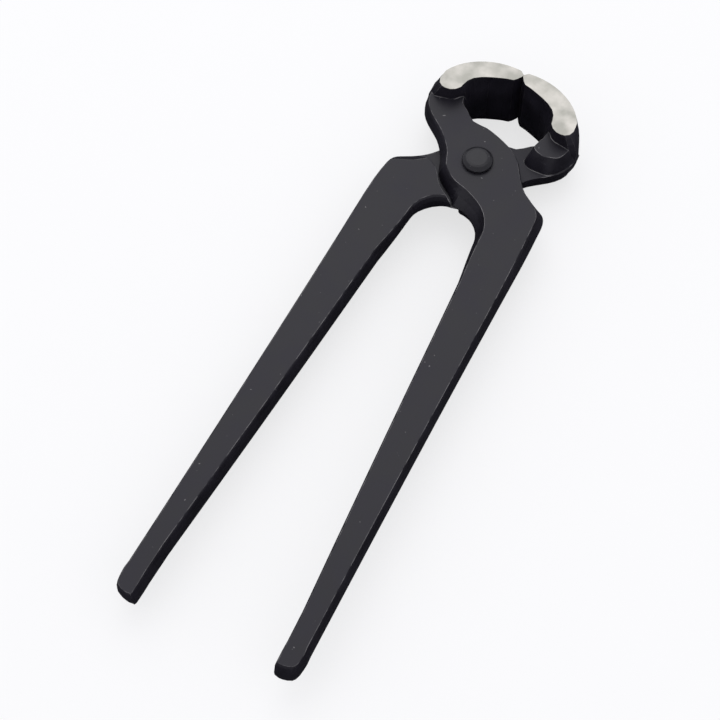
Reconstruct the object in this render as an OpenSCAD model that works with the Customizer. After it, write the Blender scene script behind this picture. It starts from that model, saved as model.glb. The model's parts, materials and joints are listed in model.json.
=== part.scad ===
// Carpenters pincers, 200 mm class: two levers from one forging, crossed at a
// lap joint and held by one rivet. The second lever is the first one turned
// half a turn about the long axis. Millimetres. +Z is the rivet axis, +Y runs
// from the handle ends to the jaws, and the origin is at the middle of the
// footprint, on the surface that the pincers lie on. Drawn with the jaws shut.

/* [Lengths from the rivet] */
// Distance from the rivet to the top of the crown
crown_reach = 33.5; // [31.5:0.5:35.5]
// Distance from the rivet to the ends of the handles
handle_reach = 166.5; // [140:0.5:185]

/* [Jaws] */
// Width of the jaws between their two ground faces
jaw_width = 21; // [18:0.5:24]
// Radius of the flat arc over the crown
crown_radius = 22.1; // [21:0.1:23.5]
// Radius of the arc that turns down from the crown to the cheek
cheek_radius = 16.8; // [16:0.1:17.6]
// Thickness of the jaw just behind the cutting edge
jaw_wall = 5; // [4:0.25:6]
// Height of the cutting land where the two jaws meet
edge_land = 0.7; // [0.4:0.1:1.2]
// Swelling of the cheek between the two ground faces
cheek_bulge = 2.1; // [1:0.1:2.6]

/* [Lap joint] */
// Thickness of the joint over both levers
joint_thickness = 11; // [9.5:0.25:12.5]
// Radius of the round boss about the rivet
boss_radius = 11.6; // [11:0.1:12.4]
// Width of the neck between boss and jaw
neck_width = 12; // [11:0.25:13]
// How far the joint's flanks lean in on the way to the flat outer face
flank_lean = 2.1; // [1.2:0.1:2.6]
// How far the levers open before they would touch, in degrees
opening_angle = 26; // [10:1:27]
// Space between the two lap faces
lap_gap = 0.1; // [0.06:0.02:0.3]
// Space between the two cutting lands with the jaws shut
edge_gap = 0.16; // [0.1:0.02:0.4]

/* [Handles] */
// Thickness of the handles
handle_thickness = 9; // [7.5:0.25:10]
// Distance from the middle line to the outer wall near the shoulder
handle_spread = 26.2; // [25:0.1:27.5]
// Width of a handle at its root, below the crotch
handle_root_width = 13.2; // [12:0.1:14]
// Width of a handle at its end
handle_end_width = 6.8; // [6:0.1:8]
// Radius of the crotch between the handles
crotch_radius = 10.5; // [9.5:0.1:11]

/* [Rivet] */
// Diameter of the rivet shank
rivet_shank = 7; // [5.5:0.25:8]
// Diameter of the rivet heads
rivet_head = 9.4; // [9:0.1:11]
// Height of the rivet heads
rivet_head_height = 2.1; // [1.2:0.1:2.6]
// Radial clearance of the shank in the lever that turns on it
running_clearance = 0.05; // [0.02:0.01:0.09]

/* [Hidden] */
// Flat outer face and inner face of a lever, measured from the lap plane
face = joint_thickness / 2;
inner = face - handle_thickness;
half = jaw_width / 2;
// The crown arc and the cheek arc touch where both have this angle
join_angle = 53.3;
crown_centre = [-3.6, crown_reach - crown_radius];
cheek_centre = crown_centre + (crown_radius - cheek_radius) * [-cos(join_angle), sin(join_angle)];
// Foot of the jaw, where its step rises from the joint's outer face
step_v = crown_reach - 16.4;
crotch_centre = [0, -25.5];
black = [0.20, 0.20, 0.22];

// One point of a smooth curve between b and c, with a and d as neighbours
function between(a, b, c, d, t) = 0.5 * (2 * b + (c - a) * t + (2 * a - 5 * b + 4 * c - d) * t * t
    + (3 * b - a - 3 * c + d) * t * t * t);

// Smooth open curve through the points p, with n steps between neighbours
function curve(p, n) = let (last = len(p) - 1) [
    for (i = [0:last - 1], k = [0:n - 1])
        between(p[max(i - 1, 0)], p[i], p[i + 1], p[min(i + 2, last)], k / n),
    p[last]
];

function arc_point(c, r, a) = [c.x + r * cos(a), c.y + r * sin(a)];

// Solid through rings of equally many points, the lowest ring first
module loft(rings) {
    n = len(rings[0]);
    m = len(rings);
    sides = [
        for (k = [0:m - 2], i = [0:n - 1]) let (j = (i + 1) % n)
            each [[k * n + i, (k + 1) * n + i, (k + 1) * n + j], [k * n + i, (k + 1) * n + j, k * n + j]]
    ];
    floor_face = [[for (i = [0:n - 1]) i]];
    roof_face = [[for (i = [n - 1:-1:0]) (m - 1) * n + i]];
    polyhedron([for (r = rings) each r], concat(floor_face, sides, roof_face), convexity = 10);
}

// Plan of a lever's plate. Each point holds the widest line at the parting
// line, the crease on the outer face and the crease on the inner face.
neck_line = [[-19.3, 17.2, 211], [-17.6, 14.2, 219], [-14.9, 11.9, 225], [-11.5, 9.1, 223]];

function neck_left(s) = let (w = neck_width / 2, d = [cos(s.z), sin(s.z)], p = [s.x, s.y])
    concat(p + w * d, p + (w - flank_lean * 0.55) * d, p + w * d);

function neck_right(s) = let (w = neck_width / 2, d = [cos(s.z), sin(s.z)], p = [s.x, s.y])
    concat(p - w * d, p - (w - 0.5) * d, p - w * d);

function boss(a, lean) = concat(arc_point([0, 0], boss_radius, a),
    arc_point([0, 0], boss_radius - lean, a), arc_point([0, 0], boss_radius, a));

function crotch(a, lean, low) = concat(arc_point(crotch_centre, crotch_radius, a),
    arc_point(crotch_centre, crotch_radius + lean, a), arc_point(crotch_centre, crotch_radius + low, a));

// Width of the handle at a given distance from the rivet, from root to end
end_v = -handle_reach;
function handle_width(v) = let (t = min(1, (-v - 40) / (handle_reach - 56)))
    handle_root_width + (handle_end_width - handle_root_width) * t;
function outer_wall(v) = handle_spread + (v < -40 ? 1.5 * pow((-v - 40) / (handle_reach - 40), 1.6) : 0);
function inner_wall(v) = outer_wall(v) - handle_width(v);

neck_flank = curve(concat([[-25.2, 20, -23.8, 20, -25.2, 20]],
    [for (s = neck_line) neck_left(s)],
    [[-13.4, 1.9, -11.8, 2.3, -13.4, 1.9]],
    [for (a = [188, 213, 237]) boss(a, flank_lean)],
    [[-3.1, -12, -2.6, -9.5, -3.1, -12], [-0.9, -14.6, 0.6, -10.5, -0.9, -14.6],
    [2.6, -15.3, 4, -12, 3, -14]],
    [crotch(55, 3.1, 1.5), crotch(36, 2.7, 1.3), crotch(17, 2.3, 1), crotch(0, 2, 0.8)],
    [[inner_wall(-40) - 1.6, -32, inner_wall(-40) - 0.1, -31.5, inner_wall(-40) - 0.8, -32]],
    [[inner_wall(-40) - 0.2, -40, inner_wall(-40) + 0.8, -40, inner_wall(-40) + 0.6, -40]]), 2);

inner_run = [for (t = [0.12:0.2:0.96]) let (v = -40 + (end_v + 48) * t)
    [inner_wall(v), v, inner_wall(v) + 0.8, v, inner_wall(v) + 0.8, v]];

end_w = outer_wall(end_v);
end_i = end_w - handle_end_width;
handle_end = curve([
    [end_i, end_v + 8, end_i + 0.7, end_v + 8, end_i + 0.7, end_v + 8],
    [end_i + 0.1, end_v + 1.2, end_i + 0.8, end_v + 2, end_i + 0.7, end_v + 1.4],
    [end_i + 0.9, end_v + 0.1, end_i + 1.4, end_v + 1.5, end_i + 1.3, end_v + 0.8],
    [end_i + 2.6, end_v, end_i + 2.6, end_v + 1.5, end_i + 2.6, end_v + 0.7],
    [end_w - 1.5, end_v + 0.9, end_w - 1.9, end_v + 2.2, end_w - 1.8, end_v + 1.6],
    [end_w - 0.3, end_v + 3, end_w - 1, end_v + 3.6, end_w - 1, end_v + 3.4],
    [end_w, end_v + 6.5, end_w - 0.7, end_v + 6.5, end_w - 0.7, end_v + 6.5]], 2);

outer_run = [for (t = [0.93:-0.155:0.1]) let (v = -40 + (end_v + 40) * t)
    [outer_wall(v), v, outer_wall(v) - 0.8, v, outer_wall(v) - 0.8, v]];

s = handle_spread;
shoulder = curve([
    [s, -40, s - 0.9, -40, s - 0.8, -40], [s, -24, s - 1.3, -24, s - 0.8, -24],
    [s, -13, s - 1.8, -14, s - 1.2, -14.5], [s - 0.3, -8.8, s - 2, -11, s - 1.8, -11.3],
    [s - 1.3, -6.4, s - 2.7, -9.2, s - 2.6, -9.7], [s - 3, -5.1, s - 4, -7.6, s - 4.1, -8.9],
    [20.2, -3.5, 19.6, -5.6, 19.5, -7.8], [17.2, -1.5, 17, -3.7, 16.8, -6.3],
    [15.1, 0.5, 14.9, -1.2, 14, -3.9], [13.2, 2.9, 12.7, 2.1, 11.9, -1.2],
    [11.5, 5.5, 11, 5, 10.4, 2.5]], 2);

boss_right = curve(concat([[9.9, 7.2, 9.4, 6.7, 9.9, 7.2], [7.9, 8.9, 7.5, 8.3, 7.9, 8.9],
    [5.4, 10.1, 5.2, 9.5, 5.4, 10.1], [2.1, 11.4, 2, 10.9, 2.1, 11.4],
    [-2.6, 12.9, -2.7, 12.4, -2.6, 12.9]],
    [for (i = [3:-1:1]) neck_right(neck_line[i])],
    [[-12.9, 20.5, -14.2, 20.4, -12.9, 20.5]]), 2);

plate_plan = concat(neck_flank, inner_run, handle_end, outer_run, shoulder, boss_right,
    [[-16, 24, -16, 24, -16, 24], [-20, 24, -20, 24, -20, 24]]);

// A wall that leans a lot runs nearly straight, one that leans little is
// upright with a rounded edge
function share(t, d) = let (k = min(1, max(0, d / 1.6 - 0.5))) k * pow(t, 0.9) + (1 - k) * pow(t, 4);

function plate_point(p, z) = let (wide = [p[0], p[1]], t = z > 0.5 ? (z - 0.5) / (face - 0.5)
    : (0.5 - z) / (0.5 - inner), goal = z > 0.5 ? [p[2], p[3]] : [p[4], p[5]],
    q = wide + (goal - wide) * share(t, norm(goal - wide))) [q.x, q.y, z];

module plate() {
    low = [for (t = [1, 0.86, 0.5]) 0.5 - (0.5 - inner) * t];
    high = [for (t = [0, 0.5, 0.84, 1]) 0.5 + (face - 0.5) * t];
    loft([for (z = concat(low, high)) [for (p = plate_plan) plate_point(p, z)]]);
}

// Plan of a jaw, each point with the outward swelling of its middle
crown_points = [for (a = [84:6:126]) let (u = [cos(a), sin(a)])
    concat(crown_centre + crown_radius * u, cheek_bulge * 0.3 * (a - 84) / 42 * u)];
cheek_points = [for (a = [133:7:154]) let (u = [cos(a), sin(a)])
    concat(cheek_centre + cheek_radius * u, cheek_bulge * min(1, 0.3 + 0.7 * (a - 126) / 42) * u)];
foot_points = [for (p = [[-22.1, 4.1, -1.1, 0], [-22.2, 2.4, -1.4, 0], [-21.6, 0.9, -1.7, -0.3],
    [-20.4, 0, -1.4, -0.6], [-19, -0.2, 0, 0], [-17.6, 0, 0, 0], [-16.2, 0.8, 0, 0], [-15.1, 2.2, 0, 0]])
    [p[0], step_v + p[1], p[2] * cheek_bulge, p[3] * cheek_bulge]];
hollow_points = [for (p = [[-14.9, -13, 0.8, -0.1], [-14.3, -11, 0.75, -0.2], [-13.1, -9.3, 0.55, -0.4],
    [-11.2, -7.9, 0.3, -0.35], [-9, -6.8, 0, 0], [-6.5, -5.8, 0, 0], [-4.3, -5, 0, 0], [-1.9, -4.4, 0, 0],
    [-1, -3.4, 0, 0]]) let (d = jaw_wall - 5)
    [p[0] + d * min(1, max(0, (-p[0] - 9) / 5)), crown_reach + p[1] - d * min(1, max(0, (16 + p[0]) / 9)),
    p[2] * cheek_bulge, p[3] * cheek_bulge]];
edge_points = [for (v = [crown_reach - 1.2 - edge_land, crown_reach - 1.2]) [-edge_gap / 2, v, 0, 0]];
jaw_plan = concat(crown_points, cheek_points, foot_points, hollow_points, edge_points);

module jaw() {
    levels = [-1, -0.9, -0.68, -0.36, 0, 0.36, 0.68, 0.9, 1];
    loft([for (t = levels) let (w = 1 - pow(abs(t), 2.2))
        [for (p = jaw_plan) [p[0] + p[2] * w, p[1] + p[3] * w, t * half]]]);
}

// Block that joins neck and jaw on the lap side. Its wall toward the boss
// slopes from the ledge down to the lap plane.
jaw_root = curve([
    [-24.9, 18.6, -23, 18.4], [-25, 17, -22.9, 17], [-24.2, 14.4, -22.3, 14.7],
    [-22.4, 11.2, -21.6, 12.9], [-20.4, 9, -20.5, 11.8], [-18.6, 8.2, -18.5, 11.2],
    [-16.6, 8.2, -17, 10.7], [-14.2, 8.2, -15.4, 11.1], [-12.2, 8.9, -13.7, 11.8],
    [-11, 10.4, -12.9, 13.2], [-12.1, 14, -14, 16.8]], 2);
root_plan = concat(jaw_root, [[-14.4, 22, -14.6, 22], [-16, 24, -16, 24], [-20, 24, -20, 24]]);

module root_block() {
    loft([for (z = [-face, -face * 0.55, 0.3]) let (t = min(1, max(0, -z / face)))
        [for (p = root_plan) [p[0] + (p[2] - p[0]) * t, p[1] + (p[3] - p[1]) * t, z]]]);
}

// Everything that the other lever needs free below the lap plane: its boss,
// its neck, and the way that the neck sweeps as the pincers open
sweep = [for (p = [[-19.8, 7.2], [-16.2, 4.5], [-13.8, 1.5], [-12, -1.8], [0, 0], [-8, 14]])
    let (c = cos(opening_angle + 1), w = sin(opening_angle + 1)) [-(p.x * c - p.y * w), p.x * w + p.y * c]];

module lap_space() {
    translate([0, 0, inner - 8])
    linear_extrude(lap_gap / 2 - inner + 8)
    union() {
        circle(r = boss_radius + 0.9, $fn = 72);
        translate([-2.5, -2.5])
        circle(r = boss_radius + 1.5, $fn = 72);
        polygon([[-40, -16], [-2.5, -15.2], [0, 0], [12.4, -1.3], [14.2, 1], [18, 4], [18, 40], [-40, 40]]);
        polygon(sweep);
    }
}

module forging() {
    resize([0, 0, 0])
    union() {
        difference() {
            plate();
            lap_space();
        }
        root_block();
        jaw();
    }
}

module place() {
    translate([0, (handle_reach - crown_reach) / 2, half])
    children();
}

module upper_lever() {
    color(black)
    place()
    difference() {
        forging();
        translate([0, 0, -half])
        cylinder(d = rivet_shank + 2 * running_clearance, h = jaw_width, $fn = 64);
    }
}

module lower_lever() {
    color(black)
    place()
    difference() {
        rotate([0, 180, 0])
        forging();
        translate([0, 0, -half])
        cylinder(d = rivet_shank, h = jaw_width, $fn = 64);
    }
}

// A head with an upright rim, a bevel and a low dome
module rivet_dome() {
    r = rivet_head / 2;
    h = rivet_head_height;
    rotate_extrude($fn = 64)
    polygon([[0, 0], [r, 0], [r, h * 0.4], [r - 0.2, h * 0.55], [r * 0.76, h * 0.86], [r * 0.6, h * 0.95], [0, h]]);
}

module rivet() {
    play = lap_gap / 2;
    color(black)
    place() {
        translate([0, 0, -face])
        cylinder(d = rivet_shank, h = joint_thickness + play, $fn = 64);
        translate([0, 0, face + play])
        rivet_dome();
        rotate([180, 0, 0])
        translate([0, 0, face])
        rivet_dome();
    }
}

upper_lever();
lower_lever();
rivet();
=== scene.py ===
import bmesh
import bpy
import json
import math
from mathutils import Matrix, Vector


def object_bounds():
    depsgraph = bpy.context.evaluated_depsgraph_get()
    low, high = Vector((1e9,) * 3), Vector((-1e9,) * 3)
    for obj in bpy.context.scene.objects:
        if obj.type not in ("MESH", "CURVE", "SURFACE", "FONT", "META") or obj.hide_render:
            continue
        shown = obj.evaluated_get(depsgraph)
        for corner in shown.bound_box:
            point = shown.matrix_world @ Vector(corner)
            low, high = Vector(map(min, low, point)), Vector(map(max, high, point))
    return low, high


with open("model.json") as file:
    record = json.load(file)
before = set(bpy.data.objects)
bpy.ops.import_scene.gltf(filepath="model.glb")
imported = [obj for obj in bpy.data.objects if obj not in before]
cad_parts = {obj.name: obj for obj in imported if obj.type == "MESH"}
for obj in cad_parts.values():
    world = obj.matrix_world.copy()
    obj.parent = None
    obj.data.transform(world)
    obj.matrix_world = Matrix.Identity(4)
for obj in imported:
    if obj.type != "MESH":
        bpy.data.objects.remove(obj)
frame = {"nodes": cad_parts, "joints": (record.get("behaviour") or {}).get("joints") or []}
cad_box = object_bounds()
scene = bpy.context.scene

# Camera: an 85 mm lens that looks down on the flat-lying pincers, from high up
# and from the right, beyond the handle ends. The middle of the rivet falls on
# one chosen pixel of the square picture, at a known scale.
RIVET = Vector(frame["joints"][0]["pos_m"])
RIVET_PX = (476.4, 171.8)
RIVET_PX_PER_M = 3300
PICTURE_PX = 720
SENSOR_MM = 36
LENS_MM = 85
turn = math.radians(27.35)
tilt = math.radians(61)
right = Vector((math.cos(turn), math.sin(turn), 0))
up = Vector((-math.sin(turn) * math.sin(tilt), math.cos(turn) * math.sin(tilt), math.cos(tilt)))
forward = up.cross(right)
across = (RIVET_PX[0] - PICTURE_PX / 2) / RIVET_PX_PER_M
above = (PICTURE_PX / 2 - RIVET_PX[1]) / RIVET_PX_PER_M
away = PICTURE_PX * LENS_MM / SENSOR_MM / RIVET_PX_PER_M
lens = bpy.data.cameras.new("camera")
lens.sensor_width = SENSOR_MM
lens.lens = LENS_MM
camera = bpy.data.objects.new("camera", lens)
scene.collection.objects.link(camera)
stand = Matrix.Translation(RIVET - across * right - above * up - away * forward)
camera.matrix_world = stand @ Matrix((right, up, -forward)).transposed().to_4x4()
scene.camera = camera

# The levers: two drop-forged steel levers under semi-matte black paint, with
# the two flat faces of each jaw ground to bare steel after painting. A thin line
# of lighter grey steel runs along the creases: partly paint rubbed through by
# use, and partly a painted highlight on the rounded edges.
JAW_HALF_WIDTH = cad_box[1].z / 2
GROUND_DEPTH = 0.00003


def linear(code):
    """A colour written as sRGB hex, as linear RGBA."""
    parts = [int(code[i : i + 2], 16) / 255 for i in (0, 2, 4)]
    return [c / 12.92 if c <= 0.04045 else ((c + 0.055) / 1.055) ** 2.4 for c in parts] + [1]


def cleared_tree(owner):
    """The emptied node tree of a material or of the room."""
    owner.use_nodes = True
    owner.node_tree.nodes.clear()
    return owner.node_tree


def add(tree, kind, inputs=None, **settings):
    """A shader node with its settings. An input is a value, a socket of
    another node, or another node, which then gives its first output."""
    node = tree.nodes.new(kind)
    for name, value in settings.items():
        setattr(node, name, value)
    for key, value in (inputs or {}).items():
        if isinstance(value, bpy.types.Node):
            value = value.outputs[0]
        if isinstance(value, bpy.types.NodeSocket):
            tree.links.new(value, node.inputs[key])
        else:
            node.inputs[key].default_value = value
    return node


def black_paint(tree, place, dark, light, smooth, rough, wear_and_highlight):
    """Sprayed black paint on a forging: a low gloss in soft patches, with a
    fine orange peel. Grey steel shows in small chips and along the creases,
    where it is partly wear and partly a painted highlight on the edges."""
    patch_mm = 9.1
    orange_peel_mm = 0.667
    rounding_mm = 0.3
    patches = add(tree, "ShaderNodeTexNoise", {"Vector": place, "Scale": 1000 / patch_mm, "Detail": 5})
    mottle = add(tree, "ShaderNodeMapRange", {"Value": patches, "From Min": 0.36, "From Max": 0.64})
    tones = {0: mottle, 6: linear(dark), 7: linear(light)}
    tint = add(tree, "ShaderNodeMix", tones, data_type="RGBA").outputs[2]
    dullness = add(tree, "ShaderNodeMapRange", {"Value": mottle, "To Min": smooth, "To Max": rough})
    peel = add(tree, "ShaderNodeTexNoise", {"Vector": place, "Scale": 1000 / orange_peel_mm, "Detail": 2})
    rounded = add(tree, "ShaderNodeBevel", {"Radius": rounding_mm / 1000}, samples=8)
    relief = {"Strength": 0.12, "Distance": 0.00012, "Height": peel, "Normal": rounded}
    skin = add(tree, "ShaderNodeBump", relief)
    coat = {"Base Color": tint, "Roughness": dullness, "Specular IOR Level": 0.36, "Normal": skin}
    paint = add(tree, "ShaderNodeBsdfPrincipled", coat)

    # A crease is where the rounded surface turns away from the flat one. Lighter
    # grey steel is painted along it, partly as wear and partly as a painted highlight
    crease_mm = 0.3
    rub_and_highlight_mm = 3.85
    crease = add(tree, "ShaderNodeBevel", {"Radius": crease_mm / 1000}, samples=8)
    flat = add(tree, "ShaderNodeNewGeometry").outputs["True Normal"]
    alike = add(tree, "ShaderNodeVectorMath", {0: crease, 1: flat}, operation="DOT_PRODUCT").outputs["Value"]
    line = add(tree, "ShaderNodeMapRange", {"Value": alike, "From Min": 0.992, "From Max": 0.94})
    # Patches that pick where the crease line of wear and painted highlight shows
    rub_and_highlight_patches = add(tree, "ShaderNodeTexNoise", {"Vector": place, "Scale": 1000 / rub_and_highlight_mm, "Detail": 4})
    rubbed_and_highlit_range = {"Value": rub_and_highlight_patches, "From Min": 0.38, "From Max": 0.58, "To Max": wear_and_highlight}
    rubbed = add(tree, "ShaderNodeMapRange", rubbed_and_highlit_range)
    crease_wear_and_highlight = add(tree, "ShaderNodeMath", {0: line, 1: rubbed}, operation="MULTIPLY")

    # Chips are rare, and let the steel through only in part
    chip_mm = 1.11
    specks = add(tree, "ShaderNodeTexNoise", {"Vector": place, "Scale": 1000 / chip_mm, "Detail": 2})
    chip_range = {"Value": specks, "From Min": 0.755, "From Max": 0.775, "To Max": 0.4}
    chips = add(tree, "ShaderNodeMapRange", chip_range)
    bare_and_highlit = add(tree, "ShaderNodeMath", {0: crease_wear_and_highlight, 1: chips}, operation="MAXIMUM")
    grey = {"Base Color": linear("8f8d8c"), "Metallic": 0.85, "Roughness": 0.42, "Normal": skin}
    steel = add(tree, "ShaderNodeBsdfPrincipled", grey)
    return add(tree, "ShaderNodeMixShader", {0: bare_and_highlit, 1: paint, 2: steel})


def ground_steel(tree, place):
    """Steel fresh from a grinding wheel: bright and slightly blotchy, with
    marks in one direction, so fine that they blur to a sheen from a step away."""
    blotch_mm = 6.67
    mark_width_mm = 0.167
    mark_length_mm = 1.43
    blotches = add(tree, "ShaderNodeTexNoise", {"Vector": place, "Scale": 1000 / blotch_mm, "Detail": 3})
    stain = add(tree, "ShaderNodeMapRange", {"Value": blotches, "From Min": 0.38, "From Max": 0.64})
    tones = {0: stain, 6: linear("b0ada6"), 7: linear("9b9a92")}
    tint = add(tree, "ShaderNodeMix", tones, data_type="RGBA").outputs[2]
    dullness = add(tree, "ShaderNodeMapRange", {"Value": stain, "To Min": 0.3, "To Max": 0.42})
    stretch = {"Vector": place, "Scale": (1000 / mark_length_mm, 1000 / mark_width_mm, 1)}
    strokes = add(tree, "ShaderNodeMapping", stretch)
    marks = add(tree, "ShaderNodeTexNoise", {"Vector": strokes, "Scale": 1, "Detail": 2})
    brushed = add(tree, "ShaderNodeBump", {"Strength": 0.1, "Distance": 0.00003, "Height": marks})
    face = {"Base Color": tint, "Metallic": 1, "Roughness": dullness, "Normal": brushed}
    return add(tree, "ShaderNodeBsdfPrincipled", face)


def dress(node, finish):
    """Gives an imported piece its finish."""
    piece = frame["nodes"][node]
    for holder in piece.material_slots:
        holder.material = finish


lever_paint = bpy.data.materials.new("semi-matte black paint on forged steel")
tree = cleared_tree(lever_paint)
place = add(tree, "ShaderNodeTexCoord").outputs["Object"]
painted = black_paint(tree, place, "121017", "1d1b23", 0.42, 0.52, 0.9)
ground = ground_steel(tree, place)
height = add(tree, "ShaderNodeSeparateXYZ", {0: place}).outputs["Z"]
off_middle = add(tree, "ShaderNodeMath", {0: height, 1: JAW_HALF_WIDTH}, operation="SUBTRACT")
off_middle = add(tree, "ShaderNodeMath", {0: off_middle}, operation="ABSOLUTE")
least = JAW_HALF_WIDTH - GROUND_DEPTH
on_face = add(tree, "ShaderNodeMath", {0: off_middle, 1: least}, operation="GREATER_THAN")
surface = add(tree, "ShaderNodeMixShader", {0: on_face, 1: painted, 2: ground})
add(tree, "ShaderNodeOutputMaterial", {"Surface": surface})
dress("upper_lever", lever_paint)
dress("lower_lever", lever_paint)

# The rivet: a steel rivet with a low domed head on each side, closed in the
# lower lever so that the upper one turns on it. It is painted with the levers,
# and hands have rubbed its head a little glossier.
rivet_paint = bpy.data.materials.new("rubbed black paint on the rivet head")
tree = cleared_tree(rivet_paint)
place = add(tree, "ShaderNodeTexCoord").outputs["Object"]
surface = black_paint(tree, place, "100f14", "17161b", 0.3, 0.38, 0.5)
add(tree, "ShaderNodeOutputMaterial", {"Surface": surface})
dress("rivet", rivet_paint)

# The table: a flat matt white sheet that the pincers lie on. The camera sees it
# close to plain white, with a soft shadow. To all other rays it is dark, so
# that the walls of the tool read dark.
TABLE_REACH = 3
TABLE_DROP = 0.0001
GRAIN_MM = 25
GLOW_SHARE = 0.7
table_mesh = bpy.data.meshes.new("table")
sheet = bmesh.new()
bmesh.ops.create_grid(sheet, x_segments=1, y_segments=1, size=TABLE_REACH)
bmesh.ops.translate(sheet, verts=sheet.verts, vec=(0, 0, -TABLE_DROP))
sheet.to_mesh(table_mesh)
sheet.free()
table = bpy.data.objects.new("table", table_mesh)
scene.collection.objects.link(table)
matt_white = bpy.data.materials.new("matt white table")
tree = cleared_tree(matt_white)
place = add(tree, "ShaderNodeTexCoord").outputs["Object"]
grain = add(tree, "ShaderNodeTexNoise", {"Vector": place, "Scale": 1000 / GRAIN_MM, "Detail": 2})
tones = {0: grain, 6: linear("f7f7f7"), 7: linear("f9f9f9")}
tint = add(tree, "ShaderNodeMix", tones, data_type="RGBA").outputs[2]
matt = add(tree, "ShaderNodeBsdfDiffuse", {"Color": tint})
glow = add(tree, "ShaderNodeEmission", {"Color": linear("fdfdfd"), "Strength": 1})
white = add(tree, "ShaderNodeMixShader", {0: GLOW_SHARE, 1: matt, 2: glow})
dark = add(tree, "ShaderNodeBsdfDiffuse", {"Color": linear("454548")})
seen = add(tree, "ShaderNodeLightPath").outputs["Is Camera Ray"]
surface = add(tree, "ShaderNodeMixShader", {0: seen, 1: dark, 2: white})
add(tree, "ShaderNodeOutputMaterial", {"Surface": surface})
table_mesh.materials.append(matt_white)

# The soft box: one large square lamp, high up beyond the jaws and to the left,
# that faces the rivet.
LAMP_SIDE = 1
LAMP_WATTS = 3.4
LAMP_DISTANCE = 1.1
toward_lamp = Vector((-0.3, 0.42, 0.86)).normalized()
lamp = bpy.data.lights.new("soft box", "AREA")
lamp.size = LAMP_SIDE
lamp.energy = LAMP_WATTS
soft_box = bpy.data.objects.new("soft box", lamp)
scene.collection.objects.link(soft_box)
soft_box.location = RIVET + LAMP_DISTANCE * toward_lamp
soft_box.rotation_euler = toward_lamp.to_track_quat("Z", "Y").to_euler()

# The room: even, pale and slightly cool light from all sides, and plain white
# where the camera looks past the table.
ROOM_STRENGTH = 0.9
room = bpy.data.worlds.new("pale room")
scene.world = room
tree = cleared_tree(room)
pale = add(tree, "ShaderNodeBackground", {"Color": linear("f7f7ff"), "Strength": ROOM_STRENGTH})
white = add(tree, "ShaderNodeBackground", {"Color": linear("fdfdfd"), "Strength": 1})
seen = add(tree, "ShaderNodeLightPath").outputs["Is Camera Ray"]
surface = add(tree, "ShaderNodeMixShader", {0: seen, 1: pale, 2: white})
add(tree, "ShaderNodeOutputWorld", {"Surface": surface})
scene.view_settings.view_transform = "Standard"
